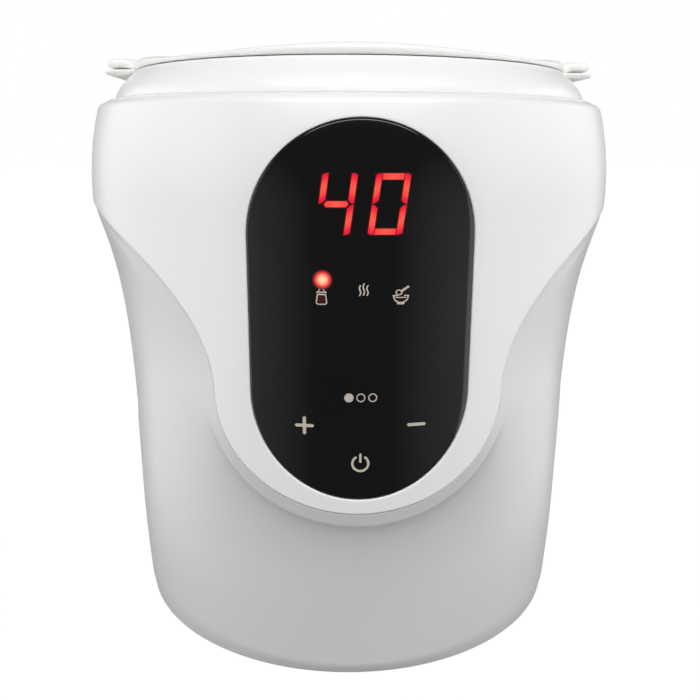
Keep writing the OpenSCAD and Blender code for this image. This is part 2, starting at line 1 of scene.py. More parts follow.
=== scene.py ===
"""Looks of a countertop bottle warmer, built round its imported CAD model.

Sizes below are in millimetres. Heights are counted from the body's bottom edge, as in the CAD
source, and build() lifts them by the feet and turns everything into metres.
"""
import bpy
import bmesh
from math import asin, atan2, ceil, cos, exp, hypot, log, pi, radians, sin, sqrt, tan
from mathutils import Matrix, Vector


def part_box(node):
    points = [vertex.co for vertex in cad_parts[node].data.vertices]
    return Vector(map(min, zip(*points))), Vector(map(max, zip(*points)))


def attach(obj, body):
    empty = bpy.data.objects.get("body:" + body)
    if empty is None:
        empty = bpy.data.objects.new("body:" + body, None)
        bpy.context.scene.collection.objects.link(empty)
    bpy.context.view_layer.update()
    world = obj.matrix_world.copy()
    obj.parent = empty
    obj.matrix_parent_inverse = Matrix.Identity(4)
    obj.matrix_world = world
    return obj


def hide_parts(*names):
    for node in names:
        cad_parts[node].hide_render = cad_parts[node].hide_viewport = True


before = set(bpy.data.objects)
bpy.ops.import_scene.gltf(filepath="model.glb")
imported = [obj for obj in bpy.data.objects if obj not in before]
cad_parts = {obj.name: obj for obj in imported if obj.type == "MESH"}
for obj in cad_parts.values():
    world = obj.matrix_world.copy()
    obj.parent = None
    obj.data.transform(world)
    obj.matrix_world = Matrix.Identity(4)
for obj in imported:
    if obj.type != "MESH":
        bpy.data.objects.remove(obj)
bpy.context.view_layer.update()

MM = 0.001
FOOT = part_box("lower_housing")[0].z / MM         # the body's bottom edge above the floor
BODY_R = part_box("upper_housing")[1].x / MM
BELLY_Z = 109              # the wall is upright below here and draws in above
DRAW_IN = 2.6              # how far it has drawn in where the shoulder starts
ROUND_Z = 128              # where the shoulder starts
SHOULDER_Z = 130.5
WINDOW_HALF = 22.4
WINDOW_LOW, WINDOW_HIGH = 48.8 + WINDOW_HALF, 125.1 - WINDOW_HALF    # centres of its end arcs

# ---------------------------------------------------------------- materials

PALETTE = {}


def node(tree, kind, **inputs):
    made = tree.nodes.new(kind)
    for key, value in inputs.items():
        made.inputs[key.replace("_", " ")].default_value = value
    return made


def noise(tree, coord, scale, detail=2.0):
    made = node(tree, "ShaderNodeTexNoise", Scale=scale, Detail=detail, Roughness=0.5)
    tree.links.new(coord.outputs["Object"], made.inputs["Vector"])
    return made


def remap(tree, source, low, high):
    made = node(tree, "ShaderNodeMapRange", From_Min=0.3, From_Max=0.7, To_Min=low, To_Max=high)
    tree.links.new(source, made.inputs["Value"])
    return made.outputs["Result"]


def material(slot, colour, rough, tone=0.03, grain=0.0, grain_size=0.35, **sockets):
    """Moulded or machined surface: soft tone changes, uneven gloss and a fine grain."""
    made = bpy.data.materials.new(slot)
    made.use_nodes = True
    tree = made.node_tree
    shader = tree.nodes["Principled BSDF"]
    coord = tree.nodes.new("ShaderNodeTexCoord")
    mix = tree.nodes.new("ShaderNodeMix")
    mix.data_type = "RGBA"             # its two colours are inputs 6 and 7
    mix.inputs[6].default_value = (*[c * (1 - tone) for c in colour], 1)
    mix.inputs[7].default_value = (*[min(1, c * (1 + tone * 0.4)) for c in colour], 1)
    tree.links.new(remap(tree, noise(tree, coord, 32).outputs["Fac"], 0, 1), mix.inputs[0])
    tree.links.new(mix.outputs[2], shader.inputs["Base Color"])
    uneven = noise(tree, coord, 210, 4)
    tree.links.new(remap(tree, uneven.outputs["Fac"], rough * 0.96, rough * 1.04),
                   shader.inputs["Roughness"])
    if grain:
        bump = node(tree, "ShaderNodeBump", Strength=grain, Distance=0.00002)
        fine = noise(tree, coord, 1 / (grain_size * MM), 3)
        tree.links.new(fine.outputs["Fac"], bump.inputs["Height"])
        tree.links.new(bump.outputs["Normal"], shader.inputs["Normal"])
    for key, value in sockets.items():
        shader.inputs[key.replace("_", " ")].default_value = value
    made.diffuse_color = (*colour, 1)
    PALETTE[slot] = made
    return made


def glow(slot, ends, middle, base=(0.02, 0.004, 0.004)):
    """Light behind the window. The piece's 'glow' attribute runs from 0, where it has died away,
    to 1. It picks a colour from ends, evenly spaced, and then middle."""
    made = material(slot, base, 0.12, tone=0.1)
    tree = made.node_tree
    shader = tree.nodes["Principled BSDF"]
    value = tree.nodes.new("ShaderNodeAttribute")
    value.attribute_name = "glow"
    ramp = tree.nodes.new("ShaderNodeValToRGB")
    stops = ramp.color_ramp.elements
    stops[0].position, stops[0].color = 0.0, (*ends[0], 1)
    stops[1].position, stops[1].color = 1.0, (*middle, 1)
    for i, colour in enumerate(ends[1:]):
        stops.new((i + 1) / len(ends)).color = (*colour, 1)
    tree.links.new(value.outputs["Fac"], ramp.inputs["Fac"])
    tree.links.new(ramp.outputs["Color"], shader.inputs["Emission Color"])
    shader.inputs["Emission Strength"].default_value = 1.0
    return made


material("white_gloss", (0.82, 0.82, 0.815), 0.34, 0.008, 0.03, 0.5,
         Coat_Weight=0.1, Coat_Roughness=0.15)
# white_satin: a warmer, greyer plastic than the upper shell, and set darker still as painted shade
# for the dimmer light low on the body
material("white_satin", (0.69, 0.682, 0.67), 0.36, 0.015, 0.07, 0.4,
         Coat_Weight=0.12, Coat_Roughness=0.2)
material("milky_pp", (0.86, 0.865, 0.84), 0.42, 0.03, 0.10, 0.35, Subsurface_Weight=0.35,
         Subsurface_Radius=(0.004, 0.004, 0.0035), Subsurface_Scale=1.0)
material("black_gloss", (0.0035, 0.0035, 0.0036), 0.085, 0.1)
material("black_plastic", (0.02, 0.02, 0.021), 0.45, 0.12, 0.3, 0.4)
material("grey_plastic", (0.42, 0.42, 0.40), 0.42, 0.05, 0.2, 0.4)
material("printed_grey", (0.56, 0.50, 0.43), 0.38, 0.06, 0.1, 0.15)
material("aluminium", (0.78, 0.79, 0.81), 0.3, 0.06, 0.15, 0.9, Metallic=1.0)
material("zinc_steel", (0.62, 0.64, 0.66), 0.28, 0.08, 0.12, 0.5, Metallic=1.0)
material("heater_sheath", (0.16, 0.14, 0.13), 0.42, 0.3, 0.3, 0.6, Metallic=1.0)
material("brass", (0.78, 0.62, 0.32), 0.3, 0.08, 0.1, 0.5, Metallic=1.0)
material("silicone", (0.62, 0.63, 0.64), 0.5, 0.04, 0.2, 0.4)
material("foot_rubber", (0.045, 0.045, 0.047), 0.72, 0.2, 0.5, 0.5)
material("board_green", (0.025, 0.13, 0.06), 0.35, 0.12, 0.2, 0.6)
material("led_red", (0.35, 0.01, 0.01), 0.3, 0.1)
material("lead_white", (0.72, 0.72, 0.69), 0.42, 0.04, 0.2, 0.5)
material("lead_black", (0.03, 0.03, 0.03), 0.42, 0.1, 0.2, 0.5)
material("lead_green", (0.10, 0.34, 0.08), 0.42, 0.1, 0.2, 0.5)
material("flat_cable", (0.48, 0.49, 0.51), 0.4, 0.06, 0.2, 0.8)
material("ceramic", (0.80, 0.74, 0.62), 0.45, 0.05, 0.3, 0.4)
material("coil_yellow", (0.72, 0.52, 0.06), 0.4, 0.08, 0.2, 0.6)
material("relay_blue", (0.03, 0.12, 0.42), 0.3, 0.06, 0.1, 0.5)
material("cap_blue", (0.05, 0.08, 0.20), 0.28, 0.08, 0.1, 0.5)
material("terminal_green", (0.07, 0.28, 0.10), 0.35, 0.06, 0.1, 0.5)
glow("digit_light", [(0.045, 0.001, 0.003), (0.66, 0.002, 0.028), (0.92, 0.02, 0.04)],
     (1.0, 0.10, 0.065))
glow("lamp_light", [(0.0, 0.0, 0.0), (0.05, 0.0, 0.0), (0.25, 0.004, 0.004), (0.9, 0.06, 0.05)],
     (1.0, 0.78, 0.42), base=(0.010, 0.010, 0.0105))

# ---------------------------------------------------------------- mesh helpers


class Skin:
    """Points and faces of one piece, gathered from rows of points."""

    def __init__(self):
        self.points, self.faces, self.glow = [], [], []

    def row(self, points, glow=None):
        start = len(self.points)
        self.points += points
        self.glow += glow or [1.0] * len(points)
        return list(range(start, len(self.points)))

    def join(self, a, b, closed):
        n = len(a)
        self.faces += [(a[i], a[(i + 1) % n], b[(i + 1) % n], b[i])
                       for i in range(n if closed else n - 1)]

    def sheet(self, rows, closed=True, loop=False):
        rows = [self.row(r) for r in rows]
        for a, b in zip(rows, rows[1:]):
            self.join(a, b, closed)
        if loop:
            self.join(rows[-1], rows[0], closed)
        return rows

    def cap(self, row, centre, glow=1.0):
        mid = self.row([centre], [glow])[0]
        n = len(row)
        self.faces += [(row[i], row[(i + 1) % n], mid) for i in range(n)]


def build(name, skin, body, slot, stands_for=(), crease=40, merge=True):
    """Make the piece, ride it on its body, and let it stand for the CAD nodes it covers."""
    mesh = bpy.data.meshes.new(name)
    mesh.from_pydata([(x * MM, y * MM, (z + FOOT) * MM) for x, y, z in skin.points], [],
                     skin.faces)
    mesh.attributes.new("glow", "FLOAT", "POINT").data.foreach_set("value", skin.glow)
    bm = bmesh.new()
    bm.from_mesh(mesh)
    if merge:
        bmesh.ops.remove_doubles(bm, verts=bm.verts, dist=0.003 * MM)
        bmesh.ops.dissolve_degenerate(bm, edges=bm.edges, dist=0.001 * MM)
    bmesh.ops.recalc_face_normals(bm, faces=bm.faces)
    for edge in bm.edges:
        edge.smooth = len(edge.link_faces) != 2 or edge.calc_face_angle() < radians(crease)
    for face in bm.faces:
        face.smooth = True
    bm.to_mesh(mesh)
    bm.free()
    obj = bpy.data.objects.new(name, mesh)
    bpy.context.scene.collection.objects.link(obj)
    mesh.materials.append(PALETTE[slot])
    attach(obj, body)
    if stands_for:
        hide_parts(*stands_for)


def lerp(a, b, t):
    return a + (b - a) * t


def spread(a, b, n):
    """n + 1 even steps from a to b."""
    return [lerp(a, b, i / n) for i in range(n + 1)]


def smooth(t):
    """0 below 0 and 1 above 1, with a soft step between."""
    t = min(1, max(0, t))
    return t * t * (3 - 2 * t)


def fillet(corners, per=5, closed=True):
    """Outline of (x, y, radius) corners with each one rounded."""
    out = []
    for i, (x, y, radius) in enumerate(corners):
        if radius <= 0 or (not closed and i in (0, len(corners) - 1)):
            out.append((x, y))
            continue
        p = Vector((x, y))
        a = Vector(corners[i - 1][:2]) - p
        b = Vector(corners[(i + 1) % len(corners)][:2]) - p
        half = a.angle(b) / 2
        d = min(radius / tan(half), 0.49 * a.length, 0.49 * b.length)
        centre = p + (a.normalized() + b.normalized()).normalized() * (d / cos(half))
        start, end = p + a.normalized() * d - centre, p + b.normalized() * d - centre
        turn = (atan2(end.y, end.x) - atan2(start.y, start.x) + pi) % (2 * pi) - pi
        for k in range(per + 1):
            w = turn * k / per
            out.append((centre.x + start.x * cos(w) - start.y * sin(w),
                        centre.y + start.x * sin(w) + start.y * cos(w)))
    return out


def ring(r, z, angles):
    return [(r * cos(a), r * sin(a), z) for a in angles]


def turns(n):
    return [2 * pi * i / n for i in range(n)]


def lathe(skin, profile, n, place):
    """Revolve (r, z) points whose first and last lie on the axis."""
    rows = skin.sheet([[place(*q) for q in ring(r, z, turns(n))] for r, z in profile[1:-1]])
    for end, row in ((profile[0], rows[0]), (profile[-1], rows[-1])):
        skin.cap(row, place(0, 0, end[1]))


def at_radius(plan, r, z):
    """Points of a plan outline moved in or out to radius r, at height z."""
    return [(r * x / hypot(x, y), r * y / hypot(x, y), z) for x, y, *_ in plan]


def between(start, end, t):
    """Outline part of the way from one to another with as many points."""
    return [(lerp(a[0], b[0], t), lerp(a[1], b[1], t)) for a, b in zip(start, end)]


# ---------------------------------------------------------------- outlines

ARC_STEPS, SIDE_STEPS = 20, 18         # on a quarter of the window's end, and on its straight side
SHIELD_HALF = 27           # half the width of the shield's foot, in degrees round the body
SHIELD_LOW, SHIELD_TURN = 45.7, 70     # heights of its foot, and where its edge turns upright
SHIELD_SIDE = 108          # height of its edge at the sides and round the back
FLANK_POWER = 0.91         # 1 would make the edge along the flank an ellipse


def wall_r(z):
    """Outer radius of the upper shell, and of the window in it."""
    return BODY_R - DRAW_IN * (max(0, z - BELLY_Z) / (ROUND_Z - BELLY_Z)) ** 2


def on_wall(a, z, depth=0.0):
    """Point at angle a from the front, in degrees, below the body's surface by depth."""
    r = wall_r(z) - depth
    return r * sin(radians(a)), -r * cos(radians(a)), z


def outline(u, g=0.0):
    """Right half of the shield's edge as (angle, height), grown outwards by g. u runs 0 to 1
    along the bottom, 1 to 2 up the flank, and 2 to 3 round the back."""
    half, low, side = SHIELD_HALF + degrees_of(g), SHIELD_LOW - g, SHIELD_SIDE - g
    turn = radians(90 * (u if u <= 1 else u - 1))
    if u <= 1:
        return half * sin(turn), SHIELD_TURN - (SHIELD_TURN - low) * cos(turn)
    if u <= 2:
        a = 90 - (90 - half) * max(0.0, cos(turn)) ** FLANK_POWER
        return a, SHIELD_TURN + (side - SHIELD_TURN) * sin(turn)
    return 90 * (u - 1), side


def degrees_of(arc):
    return arc / BODY_R * 180 / pi


def mirrored(half):
    """Closed outline from its right half, which starts and ends on the centre line."""
    return half + [(-a, z) for a, z in half[-2:0:-1]]


def stadium(offset):
    """The window's closed outline grown by offset, as (angle, height)."""
    r = WINDOW_HALF + offset
    half = [(r * sin(w), WINDOW_LOW - r * cos(w)) for w in spread(0, pi / 2, ARC_STEPS)]
    half += [(r, z) for z in spread(WINDOW_LOW, WINDOW_HIGH, SIDE_STEPS)[1:]]
    half += [(r * cos(w), WINDOW_HIGH + r * sin(w)) for w in spread(0, pi / 2, 2 * ARC_STEPS)[1:]]
    return mirrored([(asin(max(-1, min(1, x / wall_r(z)))) * 180 / pi, z) for x, z in half])


def window_rows(levels):
    """Rings round the window from (growth of its outline, depth below the surface) pairs."""
    return [[on_wall(a, z, depth) for a, z in stadium(offset)] for offset, depth in levels]


# ---------------------------------------------------------------- upper shell and window

SEAM = 1.6                 # u where the front patch hands over to the band round the back
EDGE = 0.3                 # rounding of the shield's edge
HOLE_GAP, HOLE_EDGE = 0.12, 0.3        # gap round the window, and rounding of the edge there
SHOULDER_ROUND = 1.6       # height of the shoulder's rounding

bottom_us = spread(0, 1, ARC_STEPS) + spread(1, SEAM, SIDE_STEPS)[1:]
back_us = spread(SEAM, 2, 16) + spread(2, 3, 30)[1:]
seam_a, seam_z = outline(SEAM)

upper = Skin()
# front patch, from the window's hole to the shield's edge, the seam and the shoulder
hole_edge = [(HOLE_GAP + HOLE_EDGE * (1 - sin(w)), HOLE_EDGE * (1 - cos(w)))
             for w in spread(pi / 2, 0, 4)]
upper.sheet(window_rows([(HOLE_GAP, 2.2), (HOLE_GAP, 0.9)] + hole_edge))
side_line = [(seam_a, z) for z in spread(seam_z, ROUND_Z, ARC_STEPS)[1:]]
top_line = [(a, ROUND_Z) for a in spread(seam_a, 0, ARC_STEPS)[1:]]
front_edge = mirrored([outline(u) for u in bottom_us] + side_line + top_line)
hole = stadium(HOLE_GAP + HOLE_EDGE)
upper.sheet([[on_wall(a, z) for a, z in between(hole, front_edge, t)] for t in spread(0, 1, 12)])

# band round the back
for side in (1, -1):
    upper.sheet([[on_wall(side * outline(u)[0], lerp(outline(u)[1], ROUND_Z, t)) for u in back_us]
                 for t in spread(0, 1, 12)], closed=False)

# edge all round the seam: it rounds over and turns in
loop_us = [(1, u) for u in bottom_us + back_us[1:]]
loop_us += [(-1, u) for _, u in loop_us[-2:0:-1]]
rounding = [(EDGE * sin(w), EDGE * (1 - cos(w))) for w in spread(0, pi / 2, 4)] + [(EDGE, 2.4)]
upper.sheet([[on_wall(s * outline(u, g)[0], outline(u, g)[1], d) for s, u in loop_us]
             for g, d in rounding])

# shoulder: tangent to the wall, then gently up to the collar, then down into the opening
slope = atan2(2 * DRAW_IN, ROUND_Z - BELLY_Z)
bend_r = SHOULDER_ROUND / (1 - sin(slope))
levels = [(wall_r(ROUND_Z) - bend_r * (cos(slope) - cos(w)), ROUND_Z + bend_r * (sin(w) - sin(slope)))
          for w in spread(slope, pi / 2, 8)]
levels += [(r, SHOULDER_Z - drop) for r, drop in
           ((levels[-1][0] - 0.5, 0.8), (60.9, 0.4), (59.4, 0.06), (59.0, 0), (57.8, 0),
            (57.5, 0.1), (57.3, 0.4), (57.3, 2.1))]
top_angles = [a for a, _ in top_line[::-1]] + [outline(u)[0] for u in back_us]
top_angles += [-a for a in top_angles[-2:0:-1]]
upper.sheet([[(r * sin(radians(a)), -r * cos(radians(a)), z) for a in top_angles]
             for r, z in levels])
build("upper_shell", upper, "housing", "white_gloss", ["upper_housing"])

WINDOW_SINK = 0.06         # the window lies this far below the shield's surface
PANE_EDGE, PANE_BACK = 0.35, 1.6       # rounding of the pane's edge, and depth of its back
PANE_MIDDLE = WINDOW_HALF - 0.001      # its rings end this far in, on the centre line
pane = Skin()
face = [(-lerp(PANE_EDGE, PANE_MIDDLE, t ** 0.9), WINDOW_SINK) for t in spread(1, 0, 14)]
rim = [(-PANE_EDGE * (1 - sin(w)), WINDOW_SINK + PANE_EDGE * (1 - cos(w)))
       for w in spread(0, pi / 2, 5)]
back = [(0, PANE_BACK - 0.05), (-0.3, PANE_BACK)]
back += [(-lerp(1.0, PANE_MIDDLE, t), PANE_BACK) for t in spread(0, 1, 5)]
pane.sheet(window_rows(face + rim[1:] + back))
build("window_pane", pane, "housing", "black_gloss", ["display_window"])

# ---------------------------------------------------------------- prints and lights on the window

PRINT_TOP, PRINT_UNDER = 0.03, 0.3     # their faces, counted from the shield's surface
FIRST_DIGIT, SECOND_DIGIT, DIGITS_LOW = -8.42, 1.67, 104.27
LAMP_X, LAMP_Z, LAMP_R = -7.6, 95.0, 2.05
BOTTLE, STEAM, BOWL, ICON_Z = -7.8, 0.4, 7.7, 91.8        # middles of the icons
DOTS_Z, DOTS_APART = 71.1, 2.4
PLUS, MINUS, KEY_Z, ARM = -11.4, 11.5, 65.0, 1.6          # keys, and half the length of a stroke
POWER_Z, POWER_R = 56.9, 1.65


def on_glass(x, z, depth):
    """Point of the window's curved face above (x, z) of the flat drawing."""
    return on_wall(asin(x / wall_r(z)) * 180 / pi, z, depth)


def slab(skin, rows, glows, closed=False, top=PRINT_TOP):
    """Thin solid on the window, from rows of (x, z) points across a stroke."""
    made = []
    for row, value in zip(rows, glows):
        loop = [on_glass(x, z, top) for x, z in row]
        loop += [on_glass(x, z, PRINT_UNDER) for x, z in row[::-1]]
        made.append(skin.row(loop, [value] * len(loop)))
    for a, b in zip(made, made[1:]):
        skin.join(a, b, True)
    if closed:
        skin.join(made[-1], made[0], True)
    else:
        skin.faces += [tuple(made[0]), tuple(made[-1])]


def stroke(skin, path, width, closed=False):
    """Line of even width along (x, z) points, with round ends."""
    path = [Vector(q) for q in path]
    h, last = width / 2, len(path) - 1
    stations = []                      # middle, direction and half width
    for i, q in enumerate(path):
        if closed:
            before, after = path[i - 1], path[(i + 1) % len(path)]
        else:
            before, after = path[max(i - 1, 0)], path[min(i + 1, last)]
        stations.append((q, (after - before).normalized(), h))
    if not closed:
        (q0, d0, _), (q1, d1, _) = stations[0], stations[-1]
        caps = spread(radians(-82), 0, 4)[:-1]
        stations = ([(q0 + d0 * h * sin(w), d0, h * cos(w)) for w in caps] + stations
                    + [(q1 - d1 * h * sin(w), d1, h * cos(w)) for w in caps[::-1]])
    rows = [[(q.x - d.y * k, q.y + d.x * k), (q.x + d.y * k, q.y - d.x * k)] for q, d, k in stations]
    slab(skin, rows, [1.0] * len(rows), closed)


def disc(skin, x, z, radius, falloff=lambda t: 1.0):
    """Round spot whose glow falls off with t, from 0 in its middle to 1 at its edge."""
    rings = [(radius * t, PRINT_TOP, falloff(t)) for t in (0.15, 0.3, 0.45, 0.6, 0.75, 0.88, 1.0)]
    rings.append((radius, PRINT_UNDER, falloff(1.0)))
    made = []
    for r, depth, value in rings:
        points = [on_glass(x + r * cos(w), z + r * sin(w), depth) for w in turns(28)]
        made.append(skin.row(points, [value] * len(points)))
    for a, b in zip(made, made[1:]):
        skin.join(a, b, True)
    skin.cap(made[0], on_glass(x, z, PRINT_TOP), falloff(0))
    skin.cap(made[-1], on_glass(x, z, PRINT_UNDER), falloff(1.0))


def circle(x, z, radius, start=0, end=360, n=28):
    """Path round (x, z) from start to end, in degrees clockwise from the top."""
    whole = end - start == 360
    return [(x + radius * sin(radians(w)), z + radius * cos(radians(w)))
            for w in spread(start, end, n)[:n if whole else n + 1]]


BAR, LEAN = 1.13, tan(radians(8))      # width of a digit's bar, and the digits' slant
TALL, WIDE = 10.27, 5.5                # a digit's size between the middles of its bars
HALO = 0.2                             # how far a bar's dim edge reaches past it


def bar(skin, x0, start, end, starts, ends, dim):
    """One bar of a digit from start to end, (across, height) before leaning. starts and ends say
    how far its left edge, middle and right edge are cut back, and dim how bright its ends are."""
    a, b = Vector(start), Vector(end)
    way = (b - a).normalized()
    across = Vector((-way.y, way.x))
    for grow, top, lit in ((HALO, PRINT_TOP + 0.015, False), (0.0, PRINT_TOP, True)):
        rows, values = [], []
        for t in spread(0, 1, 14):
            row = []
            for k, cut0, cut1 in zip((1, 0, -1), starts, ends):
                s = lerp(cut0 - grow, (b - a).length - cut1 + grow, t)
                q = a + way * s + across * k * (BAR / 2 + grow)
                row.append((x0 + q.x + q.y * LEAN, DIGITS_LOW + q.y))
            rows.append(row)
            values.append(lerp(1.0, dim, abs(2 * t - 1) ** 1.6) if lit else 0.0)
        slab(skin, rows, values, top=top)


def digit(skin, x0, bars):
    """Digit made of the named bars, with the foot of its left bars at x0."""
    mid, h = TALL / 2, BAR / 2
    square, outer, inner = (0, 0, 0), (0.3, 0.0, 0.0), (0.0, 0.0, 0.3)     # how bars are cut back
    wedge, wedge_back, point = (0.0, 0.15, 0.7), (0.7, 0.15, 0.0), (0.45, 0, 0.45)
    choice = {
        "upper left": ((0, mid + 0.08), (0, TALL + h), wedge, outer, 0.3),
        "lower left": ((0, -h), (0, mid - 0.08), outer, wedge, 0.42),
        "upper right": ((WIDE, mid + 0.08), (WIDE, TALL + h), wedge_back, inner, 0.35),
        "lower right": ((WIDE, -h), (WIDE, mid - 0.08), inner, wedge_back, 0.35),
        "top": ((h + 0.14, TALL), (WIDE - h - 0.14, TALL), square, square, 0.75),
        "bottom": ((h + 0.14, 0), (WIDE - h - 0.14, 0), square, square, 0.75),
        "middle": ((0.42, mid), (WIDE - 0.42, mid), point, point, 0.75),
    }
    for name in bars:
        bar(skin, x0, *choice[name])


digits = Skin()
digit(digits, FIRST_DIGIT, ("upper left", "upper right", "lower right", "middle"))
digit(digits, SECOND_DIGIT,
      ("upper left", "lower left", "upper right", "lower right", "top", "bottom"))
build("digits_on_window", digits, "housing", "digit_light", merge=False)

# lamp over the bottle, and its red light in the bottle
lamp = Skin()
disc(lamp, LAMP_X, LAMP_Z, LAMP_R, lambda t: (1 - 0.5 * t ** 1.5) * (1 - t ** 10))
slab(lamp, [[(BOTTLE - half, z), (BOTTLE + half, z)]
            for half, z in ((0.84, 90.32), (0.74, 91.1), (0.62, 91.95))],
     [0.2, 0.16, 0.22], top=0.04)
build("lamp_on_window", lamp, "housing", "lamp_light", merge=False)

prints = Skin()


def icon(x, path, width, closed=False):
    """Stroke whose path is counted from the icon's own middle."""
    stroke(prints, [(x + a, ICON_Z + b) for a, b in path], width, closed)


icon(BOTTLE, fillet([(-0.62, 0.95, 0), (-0.32, 1.35, 0.1), (0.32, 1.35, 0.1), (0.62, 0.95, 0)],
                    3, closed=False), 0.2)
for half, z, width in ((0.9, 0.78, 0.24), (0.86, 0.36, 0.2)):
    icon(BOTTLE, [(-half, z), (half, z)], width)
icon(BOTTLE, fillet([(-0.8, 0.3, 0.25), (0.8, 0.3, 0.25), (1.06, -1.62, 0.4), (-1.06, -1.62, 0.4)],
                    6), 0.22, True)
for dx, z, tall in ((-0.72, 1.15, 1.9), (0.0, 1.37, 2.2), (0.72, 1.15, 1.9)):
    icon(STEAM, [(dx + 0.17 * sin(2 * pi * t) + 0.15 * (t - 0.5), z + tall * (t - 0.5))
                 for t in spread(0, 1, 16)], 0.27)
for side in (-1, 1):                   # rim, bowl, contents and foot, then the spoon
    icon(BOWL, sorted([(side * 1.55, 0.05), (side * 0.75, 0.05)]), 0.24)
icon(BOWL, [(1.45 * sin(w), 0.02 - 1.35 * cos(w)) for w in spread(-pi / 2, pi / 2, 24)], 0.27)
for half, z, width in ((0.95, -0.32, 0.2), (0.62, -1.52, 0.3)):
    icon(BOWL, [(-half, z), (half, z)], width)
icon(BOWL, [(0.1, 0.92), (1.42, 1.78)], 0.42)
icon(BOWL, [(-0.4 + 0.6 * cos(w), 0.68 + 0.48 * sin(w)) for w in turns(18)], 0.24, True)
disc(prints, -DOTS_APART, DOTS_Z, 0.94)
for x in (0.0, DOTS_APART):
    stroke(prints, circle(x, DOTS_Z, 0.8), 0.24, True)
for x in (PLUS, MINUS):
    stroke(prints, [(x + d, KEY_Z) for d in (-ARM, 0, ARM)], 0.66)
stroke(prints, [(PLUS, KEY_Z + d) for d in (-ARM, 0, ARM)], 0.66)
stroke(prints, circle(0, POWER_Z, POWER_R, 36, 324, 30), 0.48)
stroke(prints, [(0, POWER_Z + 0.4), (0, POWER_Z + 2.0)], 0.48)
build("prints_on_window", prints, "housing", "printed_grey", merge=False)

# ---------------------------------------------------------------- lower shell

GAP = 0.55                 # where the bevel's top edge starts, below the shield's edge
SOFT = 0.12                # how softly the bevel turns into the body
REACH = 17                 # the flare has died away to about a third this far from the crease
FLARE_SOFT = 0.4           # how far from the crease the flare sets in
BEVEL, DROP = 3.4, 0.8     # the bevel's width at the front, and how far it falls in there
LIP = 0.3                  # how far the bevel's top lies inside the upper shell
FOOT_R, FOOT_ROUND = 57, 0.7           # the drum's foot and its rounding
OPENING_R = 55.4           # the opening for the base
SWELL_Z = 30               # the drum swells by 1.2 below here, and by 0.7 above


def bevel(u):
    """(width, drop) of the bevel under the shield: it dies away towards the sides."""
    t = 1 - 0.86 * smooth((u - 1.45) / 0.55)
    return BEVEL * t ** 0.8, DROP * t


def flare_bend(u):
    """Low at the front, where the flare falls in fastest right under the crease."""
    return 0.78 + 0.34 * smooth((u - 0.7) / 0.5)


def drum_r(z):
    """Radius the body would have without the flare."""
    above = max(0, z - SWELL_Z) / (SHIELD_SIDE - SWELL_Z)
    return FOOT_R + 1.2 * sin(radians(90 * min(1, z / SWELL_Z))) + 0.7 * above


crease_dots = []                       # along the crease: across, height, radius, bend
for u in spread(0, 3, 240):
    width, drop = bevel(u)
    a, z = outline(u, width)
    crease_dots.append((a * pi / 180 * BODY_R, z, BODY_R - LIP - drop, flare_bend(u)))


def body_r(a, z):
    """Body's radius below the crease, blended from the nearest point of the crease to the drum."""
    x = a * pi / 180 * BODY_R
    i = min(range(len(crease_dots)),
            key=lambda k: hypot(x - crease_dots[k][0], z - crease_dots[k][1]))
    best = None
    for p, q in zip(crease_dots[max(0, i - 1):i + 1], crease_dots[i:i + 2]):
        dx, dz = q[0] - p[0], q[1] - p[1]
        t = min(1, max(0, ((x - p[0]) * dx + (z - p[1]) * dz) / (dx * dx + dz * dz or 1)))
        found = (hypot(x - p[0] - t * dx, z - p[1] - t * dz), lerp(p[2], q[2], t),
                 lerp(p[3], q[3], t))
        best = min(best, found) if best else found
    away, crease_r, power = best
    s = hypot(away, FLARE_SOFT) - FLARE_SOFT
    return drum_r(z) + (crease_r - drum_r(z)) * exp(-(s / REACH) ** power)


def soft_step(s):
    return SOFT * log(1 + exp(-s / SOFT))


def foot_angle(u):
    """Where the column of the body that ends at u of the crease stands on the foot."""
    return 38 * u if u <= 1 else 38 + 52 * (u - 1) if u <= 2 else 90 * (u - 1)


def body_column(side, u):
    """Points from the base's opening, up the body and over the bevel into the gap above it."""
    width, drop = bevel(u)
    fall = drop / max(width - GAP, 1.2)
    crease_a, crease_z = outline(u, width)
    foot_a = foot_angle(u)
    points = [(OPENING_R, foot_a, 3.0), (OPENING_R, foot_a, 0.15), (OPENING_R + 0.2, foot_a, 0.0)]
    points += [(drum_r(0) - FOOT_ROUND * (1 - sin(w)), foot_a, FOOT_ROUND * (1 - cos(w)))
               for w in spread(0, pi / 2, 5)]
    for way in spread(0, 1, 34)[1:]:   # closer rows towards the crease
        t = lerp(FOOT_ROUND / crease_z, 1, 1 - (1 - way) ** 1.35)
        a, z = lerp(foot_a, crease_a, t), crease_z * t
        s = hypot((a - crease_a) * pi / 180 * BODY_R, z - crease_z)
        points.append((body_r(a, z) + fall * soft_step(s), a, z))
    for g in spread(width, GAP, 8)[1:]:
        points.append((BODY_R - LIP - drop + fall * soft_step(g - width), *outline(u, g)))
    top_r = points[-1][0]
    for inward, depth in ((0.1, 0.03), (0.17, 0.13), (0.2, 0.3), (0.2, 1.6)):
        points.append((top_r - depth, *outline(u, GAP - inward)))
    return [(side * r * sin(radians(a)), -r * cos(radians(a)), z) for r, a, z in points]


lower = Skin()
us = spread(0, 1, 30) + spread(1, 2, 44)[1:] + spread(2, 3, 30)[1:]
columns = [body_column(1, u) for u in us] + [body_column(-1, u) for u in us[-2:0:-1]]
lower.sheet(columns, closed=False, loop=True)
build("lower_shell", lower, "housing", "white_satin", ["lower_housing"])

# ---------------------------------------------------------------- collar

